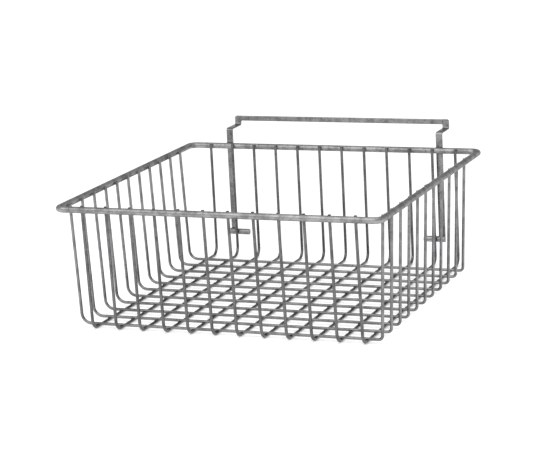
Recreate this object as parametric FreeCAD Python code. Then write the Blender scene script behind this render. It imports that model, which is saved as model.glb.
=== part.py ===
import FreeCAD
import Part
import math
import os

os.makedirs("parts", exist_ok=True)

# Welded wire display basket with a hanger frame at the back.
# Millimetres, +Z up, +Y towards the wall, X across the width.
# Origin: centre of the overall footprint, level with the underside of the lowest wires.

# Rim: one bent rod, measured between rod centrelines
RIM_WIDTH = 600.0
RIM_DEPTH = 600.0
RIM_HEIGHT = 224.0
RIM_ROD = 11.5
RIM_BEND = 15.0

# Basket wires: U-shaped, all of one diameter. Their bends are alike, apart from the tight
# right-hand bends of the side-to-side wires. The front-to-back wires end level with the
# top of the rim, the side-to-side wires a little below it
WIRE_ROD = 5.5
WIRE_BEND = 18.0
CROSS_RIGHT_BEND = 7.0
FRONT_LEAN = 12.0
SIDE_LEAN = 9.0
CROSS_TIP_BELOW = 4.0

# Wire pattern: the front-to-back wires share the width evenly, the side-to-side wires
# are even between the first and last, which keep their own distances from the rim
LONG_SPACES = 13
CROSS_SPACES = 10
CROSS_FROM_FRONT = 38.0
CROSS_FROM_BACK = 77.0

# Hanger frame: two folded strips, each just outside the second wire from its side,
# a bar between their tops and a spacer stub at each foot, above the bends of the wires
STRIP_WIDTH = 13.5
STRIP_THICK = 3.0
STRIP_EDGE = 1.4
STRIP_BEND = 4.0
STRIP_CORNER = 5.0
UPRIGHT_OFFSET = 10.3
STEP_RISE = 35.0
STEP_BACK = 47.0
DROP_RISE = 16.5
BAR_HEIGHT = 10.0
SPACER_LENGTH = 41.0
SPACER_HEIGHT = 49.0
FOOT_BELOW = 1.5

# Weld set-down: how far a wire or the end of the bar sinks into its neighbour,
# and how far a strip sinks into a round rod
WIRE_SET = 0.3
STRIP_SET = 0.1

# Values that follow from the ones above
RIM_R = RIM_ROD / 2
WIRE_R = WIRE_ROD / 2
TOTAL_DEPTH = RIM_R + RIM_DEPTH + RIM_R - STRIP_SET + STEP_BACK + STRIP_THICK
FRONT_Y = RIM_R - TOTAL_DEPTH / 2
BACK_Y = FRONT_Y + RIM_DEPTH
RIM_TOP = RIM_HEIGHT + RIM_R
LONG_PITCH = RIM_WIDTH / LONG_SPACES
CROSS_PITCH = (RIM_DEPTH - CROSS_FROM_FRONT - CROSS_FROM_BACK) / CROSS_SPACES
LONG_Z = WIRE_R
CROSS_Z = LONG_Z + WIRE_ROD - WIRE_SET
WALL_IN = RIM_R + WIRE_R - WIRE_SET
UPRIGHT_FOOT = SPACER_HEIGHT - RIM_R - FOOT_BELOW
STEP_HEIGHT = RIM_HEIGHT + STEP_RISE
BAR_TOP = STEP_HEIGHT + DROP_RISE
STRIP_FRONT = BACK_Y + RIM_R - STRIP_SET
STRIP_Y = STRIP_FRONT + STRIP_THICK / 2
DROP_Y = STRIP_Y + STEP_BACK
UPRIGHT_X = LONG_PITCH * (LONG_SPACES / 2 - 2) + UPRIGHT_OFFSET
UPRIGHT_INNER = UPRIGHT_X - STRIP_WIDTH / 2
UPRIGHT_OUTER = UPRIGHT_X + STRIP_WIDTH / 2

X_AXIS = FreeCAD.Vector(1, 0, 0)
Y_AXIS = FreeCAD.Vector(0, 1, 0)
Z_AXIS = FreeCAD.Vector(0, 0, 1)


def rounded_path(points, bends):
    """Polyline with each inner corner replaced by an arc of its own centreline radius."""
    edges = []
    start = points[0]
    for before, corner, after, bend in zip(points, points[1:], points[2:], bends):
        into = (corner - before).normalize()
        out = (after - corner).normalize()
        turn = into.getAngle(out)
        reach = bend * math.tan(turn / 2)
        entry = corner - into * reach
        leave = corner + out * reach
        sag = bend / math.cos(turn / 2) - bend
        middle = corner + (out - into).normalize() * sag
        edges.append(Part.makeLine(start, entry))
        edges.append(Part.Arc(entry, middle, leave).toShape())
        start = leave
    edges.append(Part.makeLine(start, points[-1]))
    return Part.Wire(edges)


def rounded_loop(corners, bend):
    """Closed polygon with rounded corners, starting halfway along its last side."""
    start = (corners[-1] + corners[0]) * 0.5
    return rounded_path([start] + corners + [start], [bend] * len(corners))


def bent_rod(points, radius, bends):
    """Round rod swept along a bent centreline."""
    section = Part.Wire(Part.makeCircle(radius, points[0], points[1] - points[0]))
    return rounded_path(points, bends).makePipe(Part.Face(section))


def rim():
    """Closed rectangular rod loop with tight corners."""
    half_x = RIM_WIDTH / 2
    corners = [
        FreeCAD.Vector(half_x, BACK_Y, RIM_HEIGHT),
        FreeCAD.Vector(-half_x, BACK_Y, RIM_HEIGHT),
        FreeCAD.Vector(-half_x, FRONT_Y, RIM_HEIGHT),
        FreeCAD.Vector(half_x, FRONT_Y, RIM_HEIGHT),
    ]
    side_middle = (corners[-1] + corners[0]) * 0.5
    section = Part.Wire(Part.makeCircle(RIM_R, side_middle, Y_AXIS))
    return rounded_loop(corners, RIM_BEND).makePipeShell([section], True, False)


def long_wire(x):
    """Front-to-back wire: leaning front leg, flat bottom, upright back leg."""
    top_y = FRONT_Y + WALL_IN
    slope = FRONT_LEAN / (RIM_HEIGHT - LONG_Z)
    lift = RIM_TOP - RIM_HEIGHT
    back_y = BACK_Y - WALL_IN
    points = [
        FreeCAD.Vector(x, top_y - slope * lift, RIM_TOP),
        FreeCAD.Vector(x, top_y + FRONT_LEAN, LONG_Z),
        FreeCAD.Vector(x, back_y, LONG_Z),
        FreeCAD.Vector(x, back_y, RIM_TOP),
    ]
    return bent_rod(points, WIRE_R, [WIRE_BEND, WIRE_BEND])


def cross_wire(y):
    """Side-to-side wire: two leaning legs and a bottom that lies on the long wires."""
    top_x = RIM_WIDTH / 2 - WALL_IN
    slope = SIDE_LEAN / (RIM_HEIGHT - CROSS_Z)
    tip_z = RIM_TOP - CROSS_TIP_BELOW
    lift = tip_z - RIM_HEIGHT
    points = [
        FreeCAD.Vector(-top_x - slope * lift, y, tip_z),
        FreeCAD.Vector(-top_x + SIDE_LEAN, y, CROSS_Z),
        FreeCAD.Vector(top_x - SIDE_LEAN, y, CROSS_Z),
        FreeCAD.Vector(top_x + slope * lift, y, tip_z),
    ]
    return bent_rod(points, WIRE_R, [WIRE_BEND, CROSS_RIGHT_BEND])


def flat_section(centre, width, height):
    """Cross-section of flat bar with rolled edges, centred on a point."""
    low = centre - height
    high = centre + height
    corners = [low - width, low + width, high + width, high - width]
    return Part.Face(rounded_loop(corners, STRIP_EDGE))


def outer_corner(side):
    """What is trimmed off to round the outer top corner of an upright."""
    edge_x = side * UPRIGHT_OUTER
    centre_x = edge_x - side * STRIP_CORNER
    front_y = DROP_Y - STRIP_THICK
    low_z = BAR_TOP - STRIP_CORNER
    low = FreeCAD.Vector(min(centre_x, edge_x), front_y, low_z)
    centre = FreeCAD.Vector(centre_x, front_y, low_z)
    block = Part.makeBox(STRIP_CORNER, 2 * STRIP_THICK, STRIP_CORNER, low)
    return block.cut(Part.makeCylinder(STRIP_CORNER, 2 * STRIP_THICK, centre, Y_AXIS))


def upright(side):
    """Flat strip: up behind the basket, back over the step, then up to the bar."""
    x = side * UPRIGHT_X
    step_z = STEP_HEIGHT - STRIP_THICK / 2
    points = [
        FreeCAD.Vector(x, STRIP_Y, UPRIGHT_FOOT),
        FreeCAD.Vector(x, STRIP_Y, step_z),
        FreeCAD.Vector(x, DROP_Y, step_z),
        FreeCAD.Vector(x, DROP_Y, BAR_TOP),
    ]
    section = flat_section(points[0], X_AXIS * (STRIP_WIDTH / 2), Y_AXIS * (STRIP_THICK / 2))
    strip = rounded_path(points, [STRIP_BEND, STRIP_BEND]).makePipe(section)
    return strip.cut(outer_corner(side))


def crossbar():
    """Flat bar between the tops of the two uprights, its ends set into their rolled edges."""
    half_length = UPRIGHT_INNER + WIRE_SET
    left_end = FreeCAD.Vector(-half_length, DROP_Y, BAR_TOP - BAR_HEIGHT / 2)
    section = flat_section(left_end, Y_AXIS * (STRIP_THICK / 2), Z_AXIS * (BAR_HEIGHT / 2))
    return section.extrude(X_AXIS * (2 * half_length))


def spacer(side):
    """Short rod that holds the foot of an upright off the back wires."""
    outer = FreeCAD.Vector(side * UPRIGHT_OUTER, BACK_Y, SPACER_HEIGHT)
    return Part.makeCylinder(RIM_R, SPACER_LENGTH, outer, X_AXIS * -side)


def save(name, shape):
    shape.exportStep(os.path.join("parts", name + ".step"))


save("rim", rim())
for index in range(1, LONG_SPACES):
    save("long_wire_%02d" % index, long_wire(index * LONG_PITCH - RIM_WIDTH / 2))
for index in range(CROSS_SPACES + 1):
    save("cross_wire_%02d" % (index + 1), cross_wire(FRONT_Y + CROSS_FROM_FRONT + index * CROSS_PITCH))
for name, side in (("left", -1), ("right", 1)):
    save(name + "_upright", upright(side))
    save(name + "_spacer", spacer(side))
save("hanger_crossbar", crossbar())
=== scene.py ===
"""Looks of the hanging wire basket: plated steel finishes, weld beads, floor, light and camera.
Metres, in the part's own frame: +Z up, +Y towards the wall the basket hangs on."""
import math
import random

import bmesh
import bpy
from mathutils import Matrix, Vector, noise


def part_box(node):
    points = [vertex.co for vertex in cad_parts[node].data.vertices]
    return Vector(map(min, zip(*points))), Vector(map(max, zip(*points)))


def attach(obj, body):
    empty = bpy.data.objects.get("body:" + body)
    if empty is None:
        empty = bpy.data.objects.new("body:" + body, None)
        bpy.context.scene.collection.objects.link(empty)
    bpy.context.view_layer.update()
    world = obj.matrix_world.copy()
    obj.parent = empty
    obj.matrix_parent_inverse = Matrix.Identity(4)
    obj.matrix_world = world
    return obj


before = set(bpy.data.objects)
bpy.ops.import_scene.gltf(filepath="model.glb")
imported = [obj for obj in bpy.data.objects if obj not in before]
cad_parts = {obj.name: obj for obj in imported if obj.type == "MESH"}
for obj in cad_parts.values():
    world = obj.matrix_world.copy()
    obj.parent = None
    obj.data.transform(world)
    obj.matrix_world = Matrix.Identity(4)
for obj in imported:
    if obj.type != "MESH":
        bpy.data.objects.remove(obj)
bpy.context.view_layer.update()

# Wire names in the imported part
LONG_WIRES = sorted(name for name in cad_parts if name.startswith("long_wire"))
CROSS_WIRES = sorted(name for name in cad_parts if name.startswith("cross_wire"))

# Camera: where it stands as seen from the basket and its roll, in degrees, its distance from
# the point it aims at, how far it sees, and its lens and sensor in millimetres
VIEW_AZIMUTH = 21.72
VIEW_ELEVATION = 12.749
VIEW_ROLL = -2.853
VIEW_DISTANCE = 3.956
VIEW_AIM = Vector((-0.00967, -0.00350, 0.12878))
VIEW_REACH = 100.0
VIEW_LENS = 137.88
SENSOR_WIDTH = 36.0

# Softboxes: name, place, width and height, power in watts. Both aim at one point
SOFTBOXES = (
    ("front_softbox", (-0.4, -2.0, 1.9), (3.6, 1.6), 30.0),
    ("top_softbox", (0.2, -0.3, 2.6), (2.6, 2.2), 20.0),
)
SOFTBOX_AIM = (0, 0, 0.1)

# Surroundings: grey at each height, from 0 at the horizon to 1 straight up
STUDIO_GREYS = ((0.0, 0.95), (0.20, 0.92), (0.34, 0.55), (1.0, 0.55))

# Floor: a disc in two near-white greys, and how white it looks by itself near the middle
# and far from it
FLOOR_RADIUS = 14.0
FLOOR_SIDES = 96
FLOOR_GREYS = ((0.3, 0.90), (0.7, 0.93))
FLOOR_MOTTLE_SCALE = 3.0
FLOOR_ROUGHNESS = 0.9
GLOW_DISTANCES = (0.6, 4.0)
GLOW_STRENGTHS = (0.36, 0.60)

# Plating: noise scales per metre, and between which noise values it turns from dull to
# bright, from clean to worn, and from smooth to rough. Then the tone of worn patches as a
# share of the dull one, how much rougher the rough patches are, and the grain's bump as
# strength and height
CLOUD_SCALE = 55.0
CLOUD_LIMITS = (0.38, 0.58)
PATCH_SCALE = 120.0
WORN_LIMITS = (0.60, 0.72)
GLOSS_LIMITS = (0.30, 0.75)
WORN_SHARE = 0.62
ROUGHNESS_SPREAD = 0.16
GRAIN_BUMP = (0.25, 0.00008)

# Weld metal: its pits and its stains, in the same terms
PIT_SCALE = 900.0
PIT_LIMITS = (0.3, 0.7)
PIT_BUMP = (0.5, 0.0003)
STAIN_SCALE = 210.0
STAIN_COLOURS = [(0.32, (0.160, 0.155, 0.150)), (0.66, (0.290, 0.288, 0.286))]
WELD_ROUGHNESS = (0.34, 0.58)

# Blobs of weld metal: how much and how finely they swell, and how far apart in the noise
# two of them may lie
SWELL = 0.22
SWELL_SCALE = 1.4
SWELL_SPREAD = 50

# Beads: spacing and flattening of their puddles as shares of the bead's radius, the least
# number of steps between puddles, and the range of their sizes
PUDDLE_STEP = 0.62
PUDDLE_FLATTENING = 0.35
PUDDLE_LEAST = 3
PUDDLE_SIZES = (0.92, 1.08)

# Nuggets: half sizes as shares of a wire's diameter. Floor: to the sides, up. Rim: along
# the rim, across it, up
FLOOR_NUGGET = (0.52, 0.22)
RIM_NUGGET = (0.62, 0.25, 0.75)

# Hanger beads. At a rod, as shares of its radius: height from its middle, distance in front
# of the strip, and the bead's own radius. Then how far the beads end inside the edges of
# the strip and the bar, and the radius of the bar's beads
CREVICE_HEIGHT = 0.72
CREVICE_FORWARD = 0.30
CREVICE_RADIUS = 0.34
STRIP_MARGIN = 0.001
BAR_MARGIN = 0.0014
BAR_BEAD_RADIUS = 0.0011

# Sockets of a Mix node that hold its factor, its two colours and the mixed colour
MIX_FACTOR, MIX_FIRST, MIX_SECOND, MIX_RESULT = 0, 6, 7, 2

# Seeded, so that every run gives the same beads
RANDOM = random.Random(7)


# ---------------------------------------------------------------- node helpers

def grey(level):
    return (level, level, level)


def new_material(name):
    """Material with an empty node tree, its Principled shader and object coordinates."""
    material = bpy.data.materials.new(name)
    material.use_nodes = True
    tree = material.node_tree
    tree.nodes.clear()
    shader = tree.nodes.new("ShaderNodeBsdfPrincipled")
    output = tree.nodes.new("ShaderNodeOutputMaterial")
    place = tree.nodes.new("ShaderNodeTexCoord")
    tree.links.new(shader.outputs["BSDF"], output.inputs["Surface"])
    return material, tree, shader, place.outputs["Object"]


def add_noise(tree, place, scale, detail, rough=0.55):
    """Noise value, from 0 to 1."""
    node = tree.nodes.new("ShaderNodeTexNoise")
    node.inputs["Scale"].default_value = scale
    node.inputs["Detail"].default_value = detail
    node.inputs["Roughness"].default_value = rough
    tree.links.new(place, node.inputs["Vector"])
    return node.outputs["Fac"]


def add_ramp(tree, value, stops):
    """Colour ramp through (position, (r, g, b)) stops."""
    node = tree.nodes.new("ShaderNodeValToRGB")
    elements = node.color_ramp.elements
    while len(elements) < len(stops):
        elements.new(0.5)
    for element, (position, colour) in zip(elements, stops):
        element.position = position
        element.color = (*colour, 1.0)
    tree.links.new(value, node.inputs["Fac"])
    return node.outputs["Color"]


def add_grey_ramp(tree, value, stops):
    """Colour ramp through (position, grey level) stops."""
    return add_ramp(tree, value, [(position, grey(level)) for position, level in stops])


def add_range(tree, value, limits, results):
    """Maps the span between two limits to the span between two results, clamped."""
    node = tree.nodes.new("ShaderNodeMapRange")
    node.inputs["From Min"].default_value, node.inputs["From Max"].default_value = limits
    node.inputs["To Min"].default_value, node.inputs["To Max"].default_value = results
    tree.links.new(value, node.inputs["Value"])
    return node.outputs["Result"]


def add_math(tree, operation, first, second):
    """Maths node on two sockets."""
    node = tree.nodes.new("ShaderNodeMath")
    node.operation = operation
    tree.links.new(first, node.inputs[0])
    tree.links.new(second, node.inputs[1])
    return node.outputs[0]


def add_mix(tree, factor, first, second):
    """Mixes a colour socket with a plain colour by a factor."""
    node = tree.nodes.new("ShaderNodeMix")
    node.data_type = "RGBA"
    tree.links.new(factor, node.inputs[MIX_FACTOR])
    tree.links.new(first, node.inputs[MIX_FIRST])
    node.inputs[MIX_SECOND].default_value = (*second, 1.0)
    return node.outputs[MIX_RESULT]


def add_bump(tree, shader, height, bump):
    """Bump of the given strength and height in metres, on the shader."""
    node = tree.nodes.new("ShaderNodeBump")
    node.inputs["Strength"].default_value, node.inputs["Distance"].default_value = bump
    tree.links.new(height, node.inputs["Height"])
    tree.links.new(node.outputs["Normal"], shader.inputs["Normal"])


# ---------------------------------------------------------------- materials

def plated_steel(name, bright, dull, edge, roughness, grain_scale):
    """Bright plating over drawn steel: cloudy tone, dull handling patches, fine drawing grain.
    The edge is how much of its colour the plating keeps at grazing angles, the roughness is
    that of its smoothest patches."""
    material, tree, shader, place = new_material(name)
    cloud = add_noise(tree, place, CLOUD_SCALE, detail=3.0)
    patch = add_noise(tree, place, PATCH_SCALE, detail=4.0, rough=0.65)
    grain = add_noise(tree, place, grain_scale, detail=2.0)
    dull_at, bright_at = CLOUD_LIMITS
    tone = add_ramp(tree, cloud, [(dull_at, dull), (bright_at, bright)])
    worn = add_range(tree, patch, WORN_LIMITS, (0.0, 1.0))
    worn_tone = tuple(channel * WORN_SHARE for channel in dull)
    tree.links.new(add_mix(tree, worn, tone, worn_tone), shader.inputs["Base Color"])
    rough = add_range(tree, patch, GLOSS_LIMITS, (roughness, roughness + ROUGHNESS_SPREAD))
    tree.links.new(rough, shader.inputs["Roughness"])
    add_bump(tree, shader, grain, GRAIN_BUMP)
    shader.inputs["Metallic"].default_value = 1.0
    shader.inputs["Specular Tint"].default_value = (*grey(edge), 1.0)
    return material


def weld_metal(name):
    """Plated weld metal: pitted and rougher than the wire beside it, in stained patches."""
    material, tree, shader, place = new_material(name)
    pits = add_noise(tree, place, PIT_SCALE, detail=3.0, rough=0.7)
    stain = add_noise(tree, place, STAIN_SCALE, detail=2.0)
    tree.links.new(add_ramp(tree, stain, STAIN_COLOURS), shader.inputs["Base Color"])
    rough = add_range(tree, pits, PIT_LIMITS, WELD_ROUGHNESS)
    tree.links.new(rough, shader.inputs["Roughness"])
    add_bump(tree, shader, pits, PIT_BUMP)
    shader.inputs["Metallic"].default_value = 1.0
    return material


def floor_paint():
    """Matt pale paint that reads as white, while the basket's shadow still falls on it.
    Its glow is seen by the camera and in reflections, and lights nothing besides."""
    material, tree, shader, place = new_material("pale_floor")
    mottle = add_noise(tree, place, FLOOR_MOTTLE_SCALE, detail=2.0)
    tree.links.new(add_grey_ramp(tree, mottle, FLOOR_GREYS), shader.inputs["Base Color"])
    shader.inputs["Roughness"].default_value = FLOOR_ROUGHNESS
    shader.inputs["Specular IOR Level"].default_value = 0.0
    shader.inputs["Emission Color"].default_value = (1.0, 1.0, 1.0, 1.0)
    path = tree.nodes.new("ShaderNodeLightPath")
    seen = add_math(tree, "MAXIMUM", path.outputs["Is Camera Ray"], path.outputs["Is Glossy Ray"])
    seen = add_math(tree, "MAXIMUM", seen, path.outputs["Is Transmission Ray"])
    away = tree.nodes.new("ShaderNodeVectorMath")
    away.operation = "LENGTH"
    tree.links.new(place, away.inputs[0])
    glow = add_range(tree, away.outputs["Value"], GLOW_DISTANCES, GLOW_STRENGTHS)
    tree.links.new(add_math(tree, "MULTIPLY", seen, glow), shader.inputs["Emission Strength"])
    return material


def dress(names, material):
    """Gives CAD nodes a material in place of their plain one."""
    for name in names:
        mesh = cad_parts[name].data
        mesh.materials.clear()
        mesh.materials.append(material)


# ---------------------------------------------------------------- weld beads

def middle(name):
    """Middle of a CAD node's box."""
    low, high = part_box(name)
    return (low + high) / 2


def add_blob(mesh, centre, size):
    """Small uneven lump of weld metal, as an ellipsoid of the given half sizes."""
    made = bmesh.ops.create_icosphere(mesh, subdivisions=2, radius=1.0)
    seed = Vector([RANDOM.uniform(-SWELL_SPREAD, SWELL_SPREAD) for _ in range(3)])
    for vertex in made["verts"]:
        swell = 1.0 + SWELL * noise.noise(vertex.co * SWELL_SCALE + seed)
        local = vertex.co * swell
        vertex.co = centre + Vector([value * half for value, half in zip(local, size)])


def add_bead(mesh, start, end, radius):
    """Short rippled bead from start to end, as overlapping puddles of weld metal."""
    run = end - start
    count = max(PUDDLE_LEAST, int(run.length / (radius * PUDDLE_STEP)))
    along = Vector([abs(value) for value in run.normalized()])
    size = Vector((radius, radius, radius)) - PUDDLE_FLATTENING * radius * along
    for index in range(count + 1):
        centre = start.lerp(end, index / count)
        add_blob(mesh, centre, size * RANDOM.uniform(*PUDDLE_SIZES))


def finish_piece(name, mesh, material):
    """Smooth-shaded object from a mesh in the making, riding on the basket's one body."""
    data = bpy.data.meshes.new(name)
    mesh.to_mesh(data)
    mesh.free()
    for face in data.polygons:
        face.use_smooth = True
    data.materials.append(material)
    piece = bpy.data.objects.new(name, data)
    bpy.context.scene.collection.objects.link(piece)
    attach(piece, "root")
    return piece


def floor_welds(material):
    """One squeezed-out nugget where each cross wire lies on each long wire."""
    mesh = bmesh.new()
    wire_low, wire_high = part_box(CROSS_WIRES[0])
    wire = wire_high.y - wire_low.y
    side, up = (wire * share for share in FLOOR_NUGGET)
    for long_name in LONG_WIRES:
        for cross_name in CROSS_WIRES:
            centre = Vector((middle(long_name).x, middle(cross_name).y, wire_low.z))
            add_blob(mesh, centre, (side, side, up))
    finish_piece("floor_welds", mesh, material)


def rim_welds(material):
    """One nugget where each wire leg meets the inside of the rim."""
    mesh = bmesh.new()
    low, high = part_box("rim")
    rod = high.z - low.z
    level = (low.z + high.z) / 2
    wire_low, wire_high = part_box(CROSS_WIRES[0])
    wire = wire_high.y - wire_low.y
    along, across, up = (wire * share for share in RIM_NUGGET)
    for name in LONG_WIRES:
        for inner in (low.y + rod, high.y - rod):
            add_blob(mesh, Vector((middle(name).x, inner, level)), (along, across, up))
    for name in CROSS_WIRES:
        for inner in (low.x + rod, high.x - rod):
            add_blob(mesh, Vector((inner, middle(name).y, level)), (across, along, up))
    finish_piece("rim_welds", mesh, material)


def hanger_welds(material):
    """Beads in the crevices above and below the rim and spacers, and under each end of the bar."""
    mesh = bmesh.new()
    bar_low, bar_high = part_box("hanger_crossbar")
    for side, bar_end in (("left", bar_low.x), ("right", bar_high.x)):
        strip_low, strip_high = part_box(side + "_upright")
        for name in ("rim", side + "_spacer"):
            rod_low, rod_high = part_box(name)
            radius = (rod_high.z - rod_low.z) / 2
            level = (rod_high.z + rod_low.z) / 2
            front = strip_low.y - radius * CREVICE_FORWARD
            for height in (level - CREVICE_HEIGHT * radius, level + CREVICE_HEIGHT * radius):
                start = Vector((strip_low.x + STRIP_MARGIN, front, height))
                end = Vector((strip_high.x - STRIP_MARGIN, front, height))
                add_bead(mesh, start, end, radius * CREVICE_RADIUS)
        start = Vector((bar_end, bar_low.y + BAR_MARGIN, bar_low.z))
        end = Vector((bar_end, bar_high.y - BAR_MARGIN, bar_low.z))
        add_bead(mesh, start, end, BAR_BEAD_RADIUS)
    finish_piece("hanger_welds", mesh, material)


# ---------------------------------------------------------------- stage, light, camera

def floor():
    """Round floor under the basket, wide enough to fill every view."""
    bpy.ops.mesh.primitive_circle_add(vertices=FLOOR_SIDES, radius=FLOOR_RADIUS, fill_type="NGON")
    plane = bpy.context.object
    plane.name = "floor"
    plane.data.materials.append(floor_paint())


def softbox(name, place, size, power):
    """Rectangular area light that faces the middle of the basket."""
    data = bpy.data.lights.new(name, "AREA")
    data.shape = "RECTANGLE"
    data.size, data.size_y = size
    data.energy = power
    lamp = bpy.data.objects.new(name, data)
    lamp.location = place
    towards = Vector(SOFTBOX_AIM) - Vector(place)
    lamp.rotation_euler = towards.to_track_quat("-Z", "Y").to_euler()
    bpy.context.scene.collection.objects.link(lamp)


def studio_world():
    """White at the horizon and below, and a darker ceiling that gives the plating dark edges."""
    world = bpy.data.worlds.new("studio")
    world.use_nodes = True
    bpy.context.scene.world = world
    tree = world.node_tree
    background = tree.nodes["Background"]
    place = tree.nodes.new("ShaderNodeTexCoord")
    split = tree.nodes.new("ShaderNodeSeparateXYZ")
    tree.links.new(place.outputs["Generated"], split.inputs["Vector"])
    colour = add_grey_ramp(tree, split.outputs["Z"], STUDIO_GREYS)
    tree.links.new(colour, background.inputs["Color"])
    background.inputs["Strength"].default_value = 1.0


def camera():
    """Camera at the photograph's viewing angle."""
    data = bpy.data.cameras.new("view")
    data.sensor_width = SENSOR_WIDTH
    data.lens = VIEW_LENS
    data.clip_end = VIEW_REACH
    azimuth = math.radians(VIEW_AZIMUTH)
    elevation = math.radians(VIEW_ELEVATION)
    back = Vector((
        math.sin(azimuth) * math.cos(elevation),
        -math.cos(azimuth) * math.cos(elevation),
        math.sin(elevation),
    ))
    turn = back.to_track_quat("Z", "Y").to_matrix().to_4x4()
    roll = Matrix.Rotation(math.radians(VIEW_ROLL), 4, "Z")
    eye = bpy.data.objects.new("view", data)
    eye.matrix_world = Matrix.Translation(VIEW_AIM + back * VIEW_DISTANCE) @ turn @ roll
    bpy.context.scene.collection.objects.link(eye)
    bpy.context.scene.camera = eye


rod = plated_steel(
    "plated_rod", bright=(0.35, 0.35, 0.355), dull=(0.21, 0.21, 0.215),
    edge=0.6, roughness=0.3, grain_scale=1500.0)
# Painted shade: the same wire as the cross wires, toned darker to stand in for shade on the long
# wires and their front and rear legs
long_wire = plated_steel(
    "plated_long_wire", bright=(0.160, 0.160, 0.165), dull=(0.105, 0.105, 0.110),
    edge=1.0, roughness=0.12, grain_scale=1800.0)
# Painted light: the same wire as the long wires, toned lighter to stand in for light on the cross
# wires and their side legs
cross_wire = plated_steel(
    "plated_cross_wire", bright=(0.25, 0.25, 0.255), dull=(0.17, 0.17, 0.175),
    edge=0.8, roughness=0.12, grain_scale=1800.0)
strip = plated_steel(
    "plated_strip", bright=(0.27, 0.27, 0.275), dull=(0.17, 0.17, 0.175),
    edge=0.7, roughness=0.16, grain_scale=1300.0)
weld = weld_metal("weld_metal")

dress(["rim", "left_spacer", "right_spacer"], rod)
dress(LONG_WIRES, long_wire)
dress(CROSS_WIRES, cross_wire)
dress(["left_upright", "right_upright", "hanger_crossbar"], strip)
floor_welds(weld)
rim_welds(weld)
hanger_welds(weld)
floor()
for settings in SOFTBOXES:
    softbox(*settings)
studio_world()
camera()
bpy.context.scene.view_settings.view_transform = "Standard"
